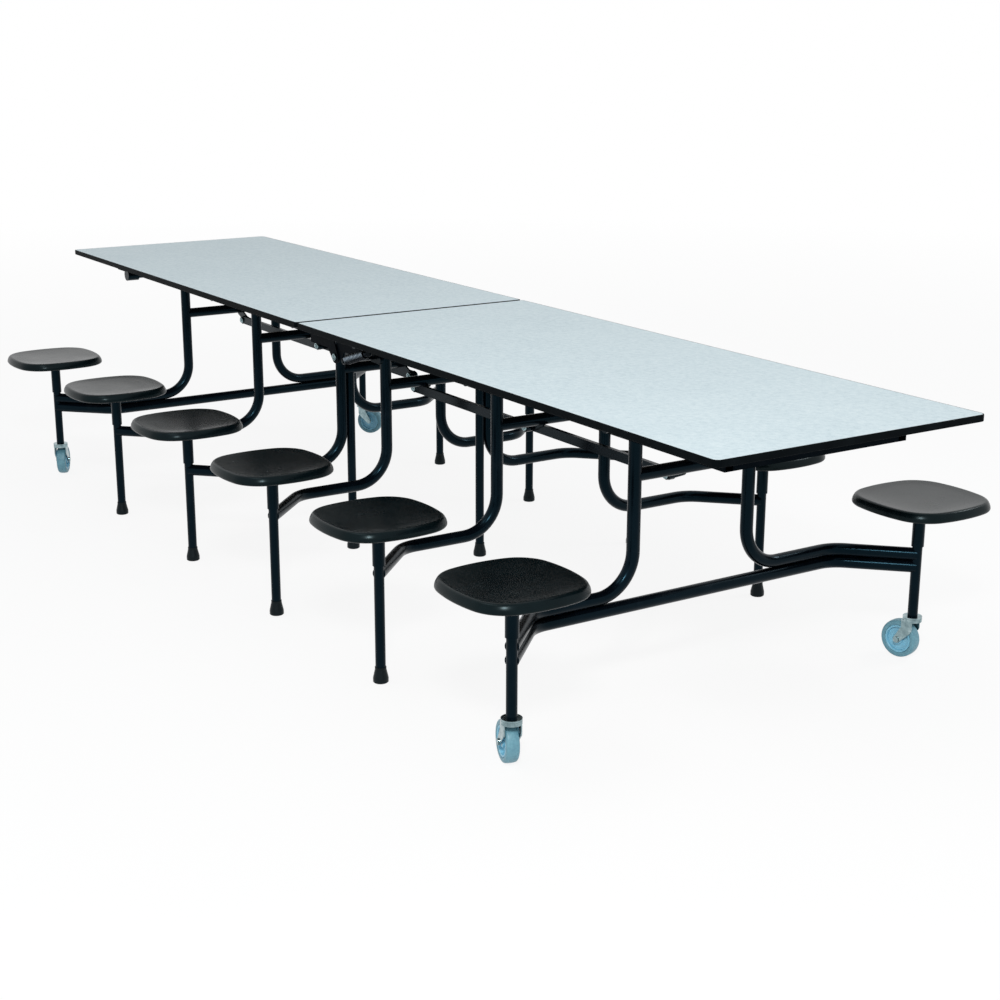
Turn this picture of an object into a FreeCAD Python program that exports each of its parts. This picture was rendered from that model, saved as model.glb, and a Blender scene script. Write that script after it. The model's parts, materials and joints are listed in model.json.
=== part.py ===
"""Folding mobile table with twelve attached swivel seats.

Two table leaves meet at a centre hinge. Each leaf hangs on three upright tube frames that carry
the seats, and a strut below the leaf keeps the three frames parallel while the table folds up.
The origin is on the floor under the centre hinge, X runs along the table and Z is up.
"""
import FreeCAD, Part
import math
import os

V = FreeCAD.Vector
ORIGIN = V(0, 0, 0)
X_AXIS = V(1, 0, 0)
Y_AXIS = V(0, 1, 0)
Z_AXIS = V(0, 0, 1)

# Fits
cut_overrun = 5.0
running_clearance = 0.06
weld_gap = 0.2
rest_gap = 0.3

# Table leaves
leaf_length = 1824.0
seam_gap = 10.0
table_width = 762.0
table_height = 737.0
core_thickness = 15.0
laminate_thickness = 1.0
band_thickness = 3.0
end_corner_radius = 16.0
seam_corner_radius = 9.0
band_round = 1.5

# Rails under each leaf
rail_width = 25.0
rail_depth = 51.0
rail_wall = 2.0
rail_outer_y = 259.0
rail_start = 152.0
rail_end = 1713.0

# Centre hinge
hinge_drop = 94.0
hinge_y = 256.5
hinge_plate = 4.0
hinge_plate_gap = 1.0
hinge_reach = 150.0
hinge_inset = 7.0
hinge_web_height = 73.0
hinge_lobe_radius = 18.0
hinge_neck_x = 32.0
hinge_neck_radius = 24.0
hinge_flange = 28.0
hinge_bolt_radius = 6.0

# Pivot shafts that run across under each leaf and turn in bushings in the rails
pivot_drop = 20.0
pivot_out = 54.0
shaft_radius = 13.5
shaft_end_y = 301.0
shaft_cap_radius = 16.0
shaft_cap_length = 16.0
shaft_cap_floor = 4.0
long_end_y = 362.0
long_cap_radius = 19.5
long_cap_length = 40.0
bushing_radius = 15.6
bushing_flange_radius = 19.0
bushing_flange = 3.0
shaft_plate = 6.0
shaft_plate_radius = 18.5
shaft_plate_root_radius = 12.0
shaft_plate_root_drop = 11.0
flange_thickness = 3.0

# Bolts
bolt_head_height = 5.0
bolt_head_across = 17.0

# Seat frames
tube_diameter = 32.0
post_diameter = 25.4
end_seat_x = 1450.0
centre_seat_x = 286.0
seat_y = 604.0
seat_offset = 150.0
arm_z = 278.0
tube_y = 171.5
tube_bend_radius = 100.0
plan_bend_radius = 90.0
tube_top_gap = 3.0
crossbar_drop = 142.0

# Struts that keep the frames parallel
strut_back = 60.0
strut_drop = 174.0
strut_height = 25.0
strut_width = 12.0
strut_end_radius = 14.0
strut_y = -30.0
strut_bolt_radius = 6.0
strut_side_gap = 0.5
lug_plate = 6.0
lug_radius = 13.0
lug_root_radius = 14.0
lug_root_back = 5.0
lug_root_drop = 8.0

# Foot glides
glide_radius = 19.2
glide_chamfer = 2.0
glide_base_height = 12.0
glide_neck_radius = 14.2
glide_neck_z = 34.0
glide_height = 40.0
glide_floor = 10.0

# Seats and their swivels
seat_half_width = 150.0
seat_top_z = 428.0
seat_height = 25.0
seat_corner_share = 0.60
seat_side_share = 2.55
seat_level_shares = ((0.0, 0.95), (0.10, 0.985), (0.24, 1.0), (0.50, 0.992), (0.76, 0.972), (0.92, 0.952),
                     (1.0, 0.93))
dish_depth = 4.0
dish_rim_share = 0.905
recess_depth = 6.0
recess_radius = 118.0
swivel_plate_half = 70.0
swivel_plate_thickness = 3.0
sleeve_diameter = 31.0
sleeve_lift = 5.0

# Casters
wheel_radius = 49.0
wheel_width = 31.0
tyre_inner_radius = 36.0
tyre_round = 5.0
hub_web_width = 14.0
hub_rim_radius = 30.0
hub_boss_radius = 13.0
axle_radius = 5.0
axle_head_radius = 7.5
axle_head_height = 3.0
caster_trail = 30.0
fork_plate = 3.0
fork_side_gap = 2.5
fork_crown_z = 102.0
fork_crown_thickness = 4.0
fork_axle_radius = 9.0
fork_root_radius = 14.5
fork_root_back = 4.0
fork_root_drop = 20.0
race_radius = 24.0
race_height = 4.2
caster_top_z = 115.0
caster_angles_deg = {("near", "left"): 163.0, ("near", "right"): 193.0, ("far", "left"): 150.0,
                     ("far", "right"): 40.0}

# Lift spring between the leaf and the centre frame
spring_y = -285.0
spring_wire = 4.5
spring_outer_diameter = 28.0
spring_turns = 14
spring_eye_length = 24.0
spring_plug_length = 14.0
spring_eye_radius = 8.8
spring_eye_thickness = 5.0
spring_pin_radius = 5.0
spring_pin_tail = 3.0
spring_arm_back = 36.0
spring_arm_drop = 67.0
spring_arm_radius = 12.0
spring_arm_plate = 6.0
spring_arm_gap = 1.0
spring_anchor_out = 118.0
spring_anchor_drop = 18.0
spring_anchor_plate = 4.0
spring_anchor_half_width = 11.0
wire_sides = 6

# Places worked out from the sizes above
under_z = table_height - laminate_thickness - core_thickness
rail_z = under_z - rail_depth
rail_inner_y = rail_outer_y - rail_width
hinge_z = under_z - hinge_drop
pivot_z = under_z - pivot_drop
crossbar_z = pivot_z - crossbar_drop
strut_z = pivot_z - strut_drop
tube_radius = tube_diameter / 2
post_radius = post_diameter / 2
tie_z = arm_z - tube_diameter - weld_gap
seat_bottom_z = seat_top_z - seat_height
plate_top_z = seat_bottom_z + recess_depth
plate_bottom_z = plate_top_z - swivel_plate_thickness
sleeve_bottom_z = arm_z + tube_radius + sleeve_lift
ROWS = ("end", "middle", "centre")
seat_pitch = (end_seat_x - centre_seat_x) / (len(ROWS) - 1)
SIDES = {"left": -1, "right": 1}


def seat_x(row):
    return end_seat_x - seat_pitch * ROWS.index(row)


def frame_x(row):
    return seat_x(row) - seat_offset


def pivot_x(row):
    return frame_x(row) + pivot_out


def box(x0, x1, y0, y1, z0, z1):
    return Part.makeBox(x1 - x0, y1 - y0, z1 - z0, V(x0, y0, z0))


def rod_y(radius, x, z, y0, y1):
    """Round bar along Y."""
    return Part.makeCylinder(radius, y1 - y0, V(x, y0, z), Y_AXIS)


def post(radius, x, y, z0, z1):
    return Part.makeCylinder(radius, z1 - z0, V(x, y, z0), Z_AXIS)


def link_plate(start, start_radius, end, end_radius, y0, y1):
    """Flat plate across Y whose outline is two circles joined by their outer tangents."""
    run_x = end[0] - start[0]
    run_z = end[1] - start[1]
    heading = math.atan2(run_z, run_x)
    lean = math.acos((start_radius - end_radius) / math.hypot(run_x, run_z))

    def rim(centre, radius, angle):
        return V(centre[0] + radius * math.cos(angle), y0, centre[1] + radius * math.sin(angle))

    end_arc = Part.Arc(*[rim(end, end_radius, heading + turn) for turn in (-lean, 0, lean)]).toShape()
    back = (lean, math.pi, 2 * math.pi - lean)
    start_arc = Part.Arc(*[rim(start, start_radius, heading + turn) for turn in back]).toShape()
    sides = [
        Part.makeLine(end_arc.valueAt(end_arc.LastParameter), start_arc.valueAt(start_arc.FirstParameter)),
        Part.makeLine(start_arc.valueAt(start_arc.LastParameter), end_arc.valueAt(end_arc.FirstParameter)),
    ]
    outline = Part.Wire(Part.__sortEdges__([end_arc, start_arc] + sides))
    return Part.Face(outline).extrude(V(0, y1 - y0, 0))


def hex_head(x, z, y0, y1):
    """Hexagon bolt head or nut on an axis along Y."""
    corner = bolt_head_across / math.sqrt(3)
    points = [V(x + corner * math.cos(i * math.pi / 3), y0, z + corner * math.sin(i * math.pi / 3))
              for i in range(7)]
    return Part.Face(Part.makePolygon(points)).extrude(V(0, y1 - y0, 0))


def bolt_y(radius, x, z, y0, y1):
    """Bolt along Y that grips from y0 to y1, with its head and nut outside that grip."""
    shank = rod_y(radius, x, z, y0 - bolt_head_height, y1 + bolt_head_height)
    head = hex_head(x, z, y0 - bolt_head_height, y0)
    nut = hex_head(x, z, y1, y1 + bolt_head_height)
    return shank.fuse([head, nut]).removeSplitter()


def bent_path(points, radii):
    """Straight runs through the points, with a tangent arc of the given radius at each inner point."""
    edges = []
    here = points[0]
    for before, corner, after, radius in zip(points, points[1:], points[2:], radii):
        into = (corner - before).normalize()
        out = (after - corner).normalize()
        turn = into.getAngle(out)
        setback = radius * math.tan(turn / 2)
        first = corner - into * setback
        last = corner + out * setback
        inward = (out - into).normalize()
        centre = corner + inward * (radius / math.cos(turn / 2))
        middle = centre - inward * radius
        edges.append(Part.makeLine(here, first))
        edges.append(Part.Arc(first, middle, last).toShape())
        here = last
    edges.append(Part.makeLine(here, points[-1]))
    return Part.Wire(edges)


def bent_tube(points, radii, radius):
    """Round tube along a bent path, solid inside because both its ends are closed."""
    path = bent_path(points, radii)
    heading = points[1] - points[0]
    section = Part.Face(Part.Wire(Part.makeCircle(radius, points[0], heading)))
    return path.makePipe(section)


def leaf_outline(inset, z):
    """Rounded rectangle of one leaf, inset all round from its outer edge."""
    x0 = seam_gap / 2 + inset
    x1 = seam_gap / 2 + leaf_length - inset
    half = table_width / 2 - inset
    block = box(x0, x1, -half, half, 0, core_thickness)
    for x, radius in ((x0, seam_corner_radius), (x1, end_corner_radius)):
        upright = [e for e in block.Edges if abs(e.BoundBox.XMax - x) + e.BoundBox.XLength < seam_gap
                   and e.BoundBox.YLength < seam_gap]
        block = block.makeFillet(radius - inset, upright)
    lowest = min(block.Faces, key=lambda face: face.CenterOfMass.z)
    outline = lowest.OuterWire
    outline.translate(V(0, 0, z))
    return Part.Face(outline)


def tabletop():
    return leaf_outline(band_thickness, under_z).extrude(V(0, 0, core_thickness))


def laminate():
    sheet = leaf_outline(band_thickness, under_z + core_thickness)
    return sheet.extrude(V(0, 0, laminate_thickness))


def edge_band():
    """Moulded strip round the leaf, with its outer edges rounded over."""
    height = table_height - under_z
    block = leaf_outline(0, under_z).extrude(V(0, 0, height))
    rims = [e for e in block.Edges if e.BoundBox.ZLength < band_round / 2]
    block = block.makeFillet(band_round, rims)
    inside = leaf_outline(band_thickness, under_z - cut_overrun)
    return block.cut(inside.extrude(V(0, 0, height + 2 * cut_overrun)))


def rail_tube(x0, x1, y0, y1, along_x):
    """Open-ended rectangular tube tight under the leaf."""
    outer = box(x0, x1, y0, y1, rail_z, under_z)
    dx = -cut_overrun if along_x else rail_wall
    dy = rail_wall if along_x else -cut_overrun
    return outer.cut(box(x0 + dx, x1 - dx, y0 + dy, y1 - dy, rail_z + rail_wall, under_z - rail_wall))


def rails():
    """Two rails along the leaf, drilled for the pivot shafts, an end bar and the ear for the spring."""
    half = table_width / 2
    bores = [rod_y(bushing_radius + weld_gap, pivot_x(row), pivot_z, -half, half) for row in ROWS]
    solids = []
    for s in SIDES.values():
        y0, y1 = sorted((s * rail_inner_y, s * rail_outer_y))
        solids.append(rail_tube(rail_start, rail_end, y0, y1, True).cut(bores))
    reach = rail_inner_y - weld_gap
    solids.append(rail_tube(rail_end - rail_width, rail_end, -reach, reach, False))
    return solids + [spring_anchor()]


def hinge_leaf(s, outside):
    """Hanging hinge plate with a screw flange under the leaf and a lobe round the hinge axis."""
    inner_face = hinge_y + hinge_plate_gap / 2 if outside else hinge_y - hinge_plate_gap / 2 - hinge_plate
    outer_face = inner_face + hinge_plate
    y0, y1 = sorted((s * inner_face, s * outer_face))
    web_z = under_z - hinge_web_height
    web = box(hinge_inset, hinge_reach, y0, y1, web_z, under_z)
    lobe = link_plate((hinge_neck_x, web_z + hinge_neck_radius), hinge_neck_radius, (0, hinge_z),
                      hinge_lobe_radius, y0, y1)
    root = outer_face if outside else inner_face
    tip = outer_face + hinge_flange if outside else inner_face - hinge_flange
    f0, f1 = sorted((s * root, s * tip))
    flange = box(hinge_inset, hinge_reach, f0, f1, under_z - flange_thickness, under_z)
    plate = web.fuse([lobe, flange]).removeSplitter()
    bore = rod_y(hinge_bolt_radius + running_clearance, 0, hinge_z, y0 - cut_overrun, y1 + cut_overrun)
    return plate.cut(bore)


def hinge_leaves():
    """The near leaf carries the inner plate on the left and the outer plate and bolt on the right."""
    grip = hinge_plate + hinge_plate_gap / 2
    bolt = bolt_y(hinge_bolt_radius, 0, hinge_z, hinge_y - grip - rest_gap, hinge_y + grip)
    return [hinge_leaf(-1, False), hinge_leaf(1, True), bolt]


def pivot_bushing(row, s):
    """Flanged sleeve through a rail, in which the pivot shaft of a frame turns."""
    x = pivot_x(row)
    y0, y1 = sorted((s * rail_inner_y, s * (rail_outer_y + rest_gap + bushing_flange)))
    f0, f1 = sorted((s * (rail_outer_y + rest_gap), s * (rail_outer_y + rest_gap + bushing_flange)))
    sleeve = rod_y(bushing_radius, x, pivot_z, y0, y1)
    flange = rod_y(bushing_flange_radius, x, pivot_z, f0, f1)
    bore = rod_y(shaft_radius + running_clearance, x, pivot_z, y0 - cut_overrun, y1 + cut_overrun)
    return sleeve.fuse(flange).removeSplitter().cut(bore)


def pivot_bushings():
    return [pivot_bushing(row, s) for row in ROWS for s in SIDES.values()]


def shaft_cap(row, s, end_y, radius, length):
    """Cap on the end of a pivot shaft, outside the rail."""
    x = pivot_x(row)
    y0, y1 = sorted((s * (end_y - length), s * end_y))
    b0, b1 = sorted((s * (end_y - length - cut_overrun), s * (end_y - shaft_cap_floor)))
    return rod_y(radius, x, pivot_z, y0, y1).cut(rod_y(shaft_radius + weld_gap, x, pivot_z, b0, b1))


def shaft_plate_for(row, s):
    """Plate welded to the top of a seat tube that carries the pivot shaft beside it."""
    x = frame_x(row)
    y0 = s * tube_y - shaft_plate / 2
    y1 = s * tube_y + shaft_plate / 2
    root = (x + tube_radius, pivot_z - shaft_plate_root_drop)
    plate = link_plate(root, shaft_plate_root_radius, (pivot_x(row), pivot_z), shaft_plate_radius, y0, y1)
    bore = rod_y(shaft_radius + weld_gap, pivot_x(row), pivot_z, y0 - cut_overrun, y1 + cut_overrun)
    return plate.cut([bore, post(tube_radius + weld_gap, x, s * tube_y, arm_z, under_z)])


def pivot_shaft(row):
    """Shaft across the frame with its plates and end caps; one end of the end frame's shaft is longer."""
    right_end = long_end_y if row == "end" else shaft_end_y
    shaft = rod_y(shaft_radius, pivot_x(row), pivot_z, -shaft_end_y + shaft_cap_floor + weld_gap,
                  right_end - shaft_cap_floor - weld_gap)
    caps = [shaft_cap(row, -1, shaft_end_y, shaft_cap_radius, shaft_cap_length)]
    if row == "end":
        caps.append(shaft_cap(row, 1, long_end_y, long_cap_radius, long_cap_length))
    else:
        caps.append(shaft_cap(row, 1, shaft_end_y, shaft_cap_radius, shaft_cap_length))
    return [shaft] + caps + [shaft_plate_for(row, s) for s in SIDES.values()]


def seat_tube(row, s):
    """Tube that hangs from the leaf, turns outwards near the floor and swings out to the seat post."""
    x = frame_x(row)
    reach = seat_y - seat_offset
    points = [V(x, s * tube_y, under_z - tube_top_gap), V(x, s * tube_y, arm_z), V(x, s * reach, arm_z),
              V(seat_x(row), s * seat_y, arm_z)]
    tube = bent_tube(points, (tube_bend_radius, plan_bend_radius), tube_radius)
    return tube.cut(post(post_radius + weld_gap, seat_x(row), s * seat_y, 0, seat_top_z))


def tie_tube(row):
    """Low tube from post to post, under the two seat tubes of an end frame."""
    reach = seat_y - seat_offset
    points = [V(seat_x(row), -seat_y, tie_z), V(frame_x(row), -reach, tie_z), V(frame_x(row), reach, tie_z),
              V(seat_x(row), seat_y, tie_z)]
    tube = bent_tube(points, (plan_bend_radius, plan_bend_radius), tube_radius)
    posts = [post(post_radius + weld_gap, seat_x(row), s * seat_y, 0, seat_top_z) for s in SIDES.values()]
    return tube.cut(posts)


def strut_lanes(row):
    """Y spans of the struts that meet a frame: one each side of the lug."""
    half = lug_plate / 2 + strut_side_gap
    outer = (strut_y + half, strut_y + half + strut_width)
    inner = (strut_y - half - strut_width, strut_y - half)
    return {"end": [outer], "middle": [inner, outer], "centre": [inner]}[row]


def crossbar(row):
    """Tube between the two seat tubes, with a lug for the strut behind and below it."""
    x = frame_x(row)
    bar = rod_y(tube_radius, x, crossbar_z, -tube_y, tube_y)
    y0 = strut_y - lug_plate / 2
    pivot = (x - strut_back, strut_z)
    root = (x - lug_root_back, crossbar_z - lug_root_drop)
    lug = link_plate(root, lug_root_radius, pivot, lug_radius, y0, y0 + lug_plate)
    hole = rod_y(strut_bolt_radius + running_clearance, pivot[0], pivot[1], y0 - cut_overrun,
                 y0 + lug_plate + cut_overrun)
    tubes = [post(tube_radius + weld_gap, x, s * tube_y, arm_z, pivot_z) for s in SIDES.values()]
    return bar.fuse(lug).removeSplitter().cut([hole] + tubes)


def strut_bolt(row):
    lanes = strut_lanes(row)
    low = min(lane[0] for lane in lanes + [(strut_y - lug_plate / 2, 0)])
    high = max(lane[1] for lane in lanes + [(0, strut_y + lug_plate / 2)])
    x = frame_x(row) - strut_back
    return bolt_y(strut_bolt_radius, x, strut_z, low - strut_side_gap, high + strut_side_gap)


def leg_y():
    """The centre leg stands tight inside the right seat tube."""
    return tube_y - tube_radius - weld_gap - post_radius


def centre_leg():
    """Extra leg whose top is shaped to fit under the crossbar."""
    x = frame_x("centre")
    bar = rod_y(tube_radius + weld_gap, x, crossbar_z, -tube_y, tube_y)
    return post(post_radius, x, leg_y(), glide_floor, crossbar_z).cut(bar)


def seat_post(row, s):
    foot = caster_top_z if row == "end" else glide_floor
    return post(post_radius, seat_x(row), s * seat_y, foot, plate_bottom_z - rest_gap)


def frame(row):
    """All welded tubes and bars of one frame, each its own solid, with the strut bolt."""
    solids = [seat_tube(row, s) for s in SIDES.values()]
    solids += [seat_post(row, s) for s in SIDES.values()]
    solids += [crossbar(row), strut_bolt(row)] + pivot_shaft(row)
    if row == "end":
        solids.append(tie_tube(row))
    if row == "centre":
        solids += [centre_leg(), spring_arm()]
    return solids


def glide(x, y):
    """Bell-shaped foot pushed onto the end of a post."""
    bore = post_radius + weld_gap
    profile = [V(0, 0, 0), V(glide_radius - glide_chamfer, 0, 0), V(glide_radius, 0, glide_chamfer),
               V(glide_radius, 0, glide_base_height), V(glide_neck_radius, 0, glide_neck_z),
               V(glide_neck_radius, 0, glide_height), V(bore, 0, glide_height), V(bore, 0, glide_floor),
               V(0, 0, glide_floor), V(0, 0, 0)]
    bell = Part.Face(Part.makePolygon(profile)).revolve(ORIGIN, Z_AXIS, 360)
    bell.translate(V(x, y, 0))
    return bell


def glides(row):
    solids = [glide(seat_x(row), s * seat_y) for s in SIDES.values()]
    if row == "centre":
        solids.append(glide(frame_x(row), leg_y()))
    return solids


def strut(front_row, back_row, lane):
    """Bar pinned to two neighbouring frames."""
    y0, y1 = lane
    ends = [(frame_x(row) - strut_back, strut_z) for row in (front_row, back_row)]
    half = strut_height / 2
    bar = box(ends[1][0], ends[0][0], y0, y1, strut_z - half, strut_z + half)
    rounds = [rod_y(strut_end_radius, x, z, y0, y1) for x, z in ends]
    holes = [rod_y(strut_bolt_radius + running_clearance, x, z, y0 - cut_overrun, y1 + cut_overrun)
             for x, z in ends]
    return bar.fuse(rounds).removeSplitter().cut(holes)


def struts():
    inner, outer = strut_lanes("middle")
    return [strut("end", "middle", outer), strut("middle", "centre", inner)]


def seat_ring(half_width, z):
    """Rounded-square outline of the seat at one level: four side arcs and four corner arcs."""
    corner = half_width * seat_corner_share
    side = half_width * seat_side_share
    sink = side - half_width
    nest = side - corner
    centre = (math.sqrt(2 * nest * nest - sink * sink) - sink) / 2
    spread = math.atan2(centre, centre + sink)
    edges = []
    for quarter in range(4):
        facing = quarter * math.pi / 2
        side_mid = V(-sink * math.cos(facing), -sink * math.sin(facing), z)
        nook = facing + math.pi / 4
        corner_mid = V(centre * math.sqrt(2) * math.cos(nook), centre * math.sqrt(2) * math.sin(nook), z)
        edges.append(Part.Arc(*[side_mid + V(side * math.cos(facing + t), side * math.sin(facing + t), 0)
                                for t in (-spread, 0, spread)]).toShape())
        sweep = math.pi / 4 - spread
        edges.append(Part.Arc(*[corner_mid + V(corner * math.cos(nook + t), corner * math.sin(nook + t), 0)
                                for t in (-sweep, 0, sweep)]).toShape())
    return Part.Wire(edges)


def seat_moulding():
    """Seat with a rolled edge, a shallow dish on top and a recess below for the swivel plate."""
    rings = [seat_ring(seat_half_width * width, seat_bottom_z + seat_height * rise)
             for rise, width in seat_level_shares]
    block = Part.makeLoft(rings, True, True)
    dish_rim = seat_half_width * dish_rim_share
    bowl_radius = (dish_rim * dish_rim + dish_depth * dish_depth) / (2 * dish_depth)
    bowl = Part.makeSphere(bowl_radius, V(0, 0, seat_top_z - dish_depth + bowl_radius))
    recess = post(recess_radius, 0, 0, seat_bottom_z - cut_overrun, plate_top_z)
    return block.cut([bowl, recess])


def seat_swivel():
    """Square plate welded on a sleeve that turns on the post."""
    half = swivel_plate_half
    plate = box(-half, half, -half, half, plate_bottom_z, plate_top_z)
    sleeve = post(sleeve_diameter / 2, 0, 0, sleeve_bottom_z, plate_bottom_z)
    bore = post(post_radius + running_clearance, 0, 0, sleeve_bottom_z - cut_overrun, plate_bottom_z)
    return plate.fuse(sleeve).removeSplitter().cut(bore)


def placed(shape, x, y, angle_deg):
    moved = shape.copy()
    moved.rotate(ORIGIN, Z_AXIS, angle_deg)
    moved.translate(V(x, y, 0))
    return moved


def caster_stem():
    """Upper race of the caster, fixed under the post."""
    return post(race_radius, 0, 0, caster_top_z - race_height, caster_top_z)


def caster_fork():
    """Pressed fork: lower race, crown and two side plates, with the wheel trailing along +X."""
    inner = wheel_width / 2 + fork_side_gap
    outer = inner + fork_plate
    race_top = caster_top_z - race_height - rest_gap
    race = post(race_radius, 0, 0, fork_crown_z, race_top)
    crown = box(fork_root_back - fork_root_radius, fork_root_back + fork_root_radius, -outer, outer,
                fork_crown_z, fork_crown_z + fork_crown_thickness)
    root = (fork_root_back, fork_crown_z - fork_root_drop)
    cheeks = []
    for y0, y1 in ((inner, outer), (-outer, -inner)):
        axle = (caster_trail, wheel_radius)
        cheeks.append(link_plate(root, fork_root_radius, axle, fork_axle_radius, y0, y1))
        cheeks.append(box(root[0] - fork_root_radius, root[0] + fork_root_radius, y0, y1, root[1],
                          fork_crown_z + fork_crown_thickness))
    hole = rod_y(axle_radius + running_clearance, caster_trail, wheel_radius, -outer - cut_overrun,
                 outer + cut_overrun)
    fork = race.fuse([crown] + cheeks).removeSplitter().cut(hole)
    tip = outer + axle_head_height
    pin = rod_y(axle_radius, caster_trail, wheel_radius, -tip, tip)
    heads = [rod_y(axle_head_radius, caster_trail, wheel_radius, y0, y0 + axle_head_height)
             for y0 in (outer, -tip)]
    return [fork, pin.fuse(heads).removeSplitter()]


def caster_wheel():
    """Soft tyre on a hub with a thin web, a rim and a boss round the axle."""
    half = wheel_width / 2
    axle = V(caster_trail, 0, wheel_radius)

    def turned_ring(profile):
        points = [axle + V(0, y, r) for r, y in profile]
        ring = Part.Face(Part.makePolygon(points + points[:1]))
        return ring.revolve(axle, Y_AXIS, 360)

    shoulder = half - tyre_round
    tread = wheel_radius - tyre_round
    tyre = turned_ring([(tyre_inner_radius, -half), (tread, -half), (wheel_radius, -shoulder),
                        (wheel_radius, shoulder), (tread, half), (tyre_inner_radius, half)])
    bore = axle_radius + running_clearance
    web = hub_web_width / 2
    rim = tyre_inner_radius - weld_gap
    hub = turned_ring([(bore, -half), (hub_boss_radius, -half), (hub_boss_radius, -web),
                       (hub_rim_radius, -web), (hub_rim_radius, -half), (rim, -half),
                       (rim, half), (hub_rim_radius, half), (hub_rim_radius, web),
                       (hub_boss_radius, web), (hub_boss_radius, half), (bore, half)])
    return [hub, tyre]


def spring_ends():
    """Axis points (x, z) of the two pins that hold the lift spring: on the leaf and on the centre frame."""
    x = frame_x("centre")
    anchor = (x + spring_anchor_out, pivot_z - spring_anchor_drop)
    arm = (x - spring_arm_back, pivot_z - spring_arm_drop)
    return anchor, arm


def spring_anchor():
    """Ear under the leaf with the pin that holds the outer end of the lift spring."""
    x, z = spring_ends()[0]
    face = spring_y - spring_eye_thickness / 2 - rest_gap
    half = spring_anchor_half_width
    ear = box(x - half, x + half, face - spring_anchor_plate, face, z, under_z)
    round_end = rod_y(half, x, z, face - spring_anchor_plate, face)
    pin = rod_y(spring_pin_radius, x, z, face, spring_y + spring_eye_thickness / 2 + spring_pin_tail)
    return ear.fuse([round_end, pin]).removeSplitter()


def spring_arm():
    """Arm on the left tube of the centre frame with the pin that holds the inner end of the lift spring."""
    x, z = spring_ends()[1]
    face = -tube_y - tube_radius - spring_arm_gap
    root = (frame_x("centre"), z)
    arm = link_plate(root, spring_arm_radius, (x, z), spring_arm_radius, face - spring_arm_plate, face)
    pin = rod_y(spring_pin_radius, x, z, spring_y - spring_eye_thickness / 2 - spring_pin_tail, face)
    pad = rod_y(spring_arm_radius, root[0], root[1], face, -tube_y)
    tube = post(tube_radius + weld_gap, frame_x("centre"), -tube_y, arm_z, pivot_z)
    return arm.fuse([pin, pad]).removeSplitter().cut(tube)


def biarc(start, start_heading, end, end_heading):
    """Two tangent arcs from one point and direction to another."""
    gap = end - start
    both = start_heading + end_heading
    spread = 2 * (1 - start_heading.dot(end_heading))
    lead = gap.dot(both)
    reach = (math.sqrt(lead * lead + spread * gap.dot(gap)) - lead) / spread
    first = start + start_heading * reach
    last = end - end_heading * reach
    joint = (first + last) * 0.5

    def arc(a, b, apex):
        chord_mid = (a + b) * 0.5
        rise = apex - chord_mid
        bend = (apex - a).getAngle(b - a)
        height = (b - a).Length / 2 * math.tan(bend / 2)
        return Part.Arc(a, chord_mid + rise.normalize() * height, b).toShape()

    return [arc(start, joint, first), arc(joint, end, last)]


def lift_spring():
    """Coil as one unbroken wire, with an eye plug screwed into each end."""
    (ax, az), (bx, bz) = spring_ends()
    span = math.hypot(bx - ax, bz - az)
    coil_length = span - 2 * spring_eye_length
    coil_radius = (spring_outer_diameter - spring_wire) / 2
    pitch = coil_length / spring_turns
    rise = pitch / (2 * math.pi)
    pace = math.hypot(coil_radius, rise)

    def point(angle):
        along = spring_eye_length + rise * angle
        return V(coil_radius * math.cos(angle), coil_radius * math.sin(angle), along)

    def heading(angle):
        return V(-coil_radius * math.sin(angle), coil_radius * math.cos(angle), rise) * (1 / pace)

    half_turns = [math.pi * i for i in range(2 * spring_turns + 1)]
    edges = []
    for a, b in zip(half_turns, half_turns[1:]):
        edges += biarc(point(a), heading(a), point(b), heading(b))
    path = Part.Wire(edges)
    wire_radius = spring_wire / 2
    out = V(1, 0, 0)
    across = heading(0).cross(out)
    turns = [2 * math.pi * i / wire_sides for i in range(wire_sides + 1)]
    corners = [point(0) + out * (wire_radius * math.cos(turn)) + across * (wire_radius * math.sin(turn))
               for turn in turns]
    coil = path.makePipeShell([Part.makePolygon(corners)], True, False)

    samples = [edge.valueAt(edge.FirstParameter + (edge.LastParameter - edge.FirstParameter) * share / 4)
               for edge in edges for share in range(4)]
    per_turn = len(samples) // spring_turns
    nearest = min((samples[i] - samples[j]).Length for i in range(len(samples))
                  for j in range(i + per_turn // 2, min(i + 2 * per_turn, len(samples))))
    print("spring least gap between turns, mm:", round(nearest - spring_wire, 2))

    plugs = []
    for base, out_sign in ((spring_eye_length, -1), (span - spring_eye_length, 1)):
        inside = coil_radius - wire_radius - rest_gap
        plug = Part.makeCylinder(inside, spring_plug_length, V(0, 0, base), V(0, 0, -out_sign))
        eye_z = base + out_sign * spring_eye_length
        half = spring_eye_thickness / 2
        tab = box(-spring_eye_radius, spring_eye_radius, -half, half, min(base, eye_z), max(base, eye_z))
        ring = rod_y(spring_eye_radius, 0, eye_z, -half, half)
        hole = rod_y(spring_pin_radius + running_clearance, 0, eye_z, -2 * half, 2 * half)
        plugs.append(plug.fuse([tab, ring]).removeSplitter().cut(hole))

    lean = math.degrees(math.atan2(bx - ax, bz - az))
    solids = []
    for solid in [coil] + plugs:
        solid.rotate(ORIGIN, Y_AXIS, lean)
        solid.translate(V(ax, spring_y, az))
        solids.append(solid)
    return solids


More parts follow.
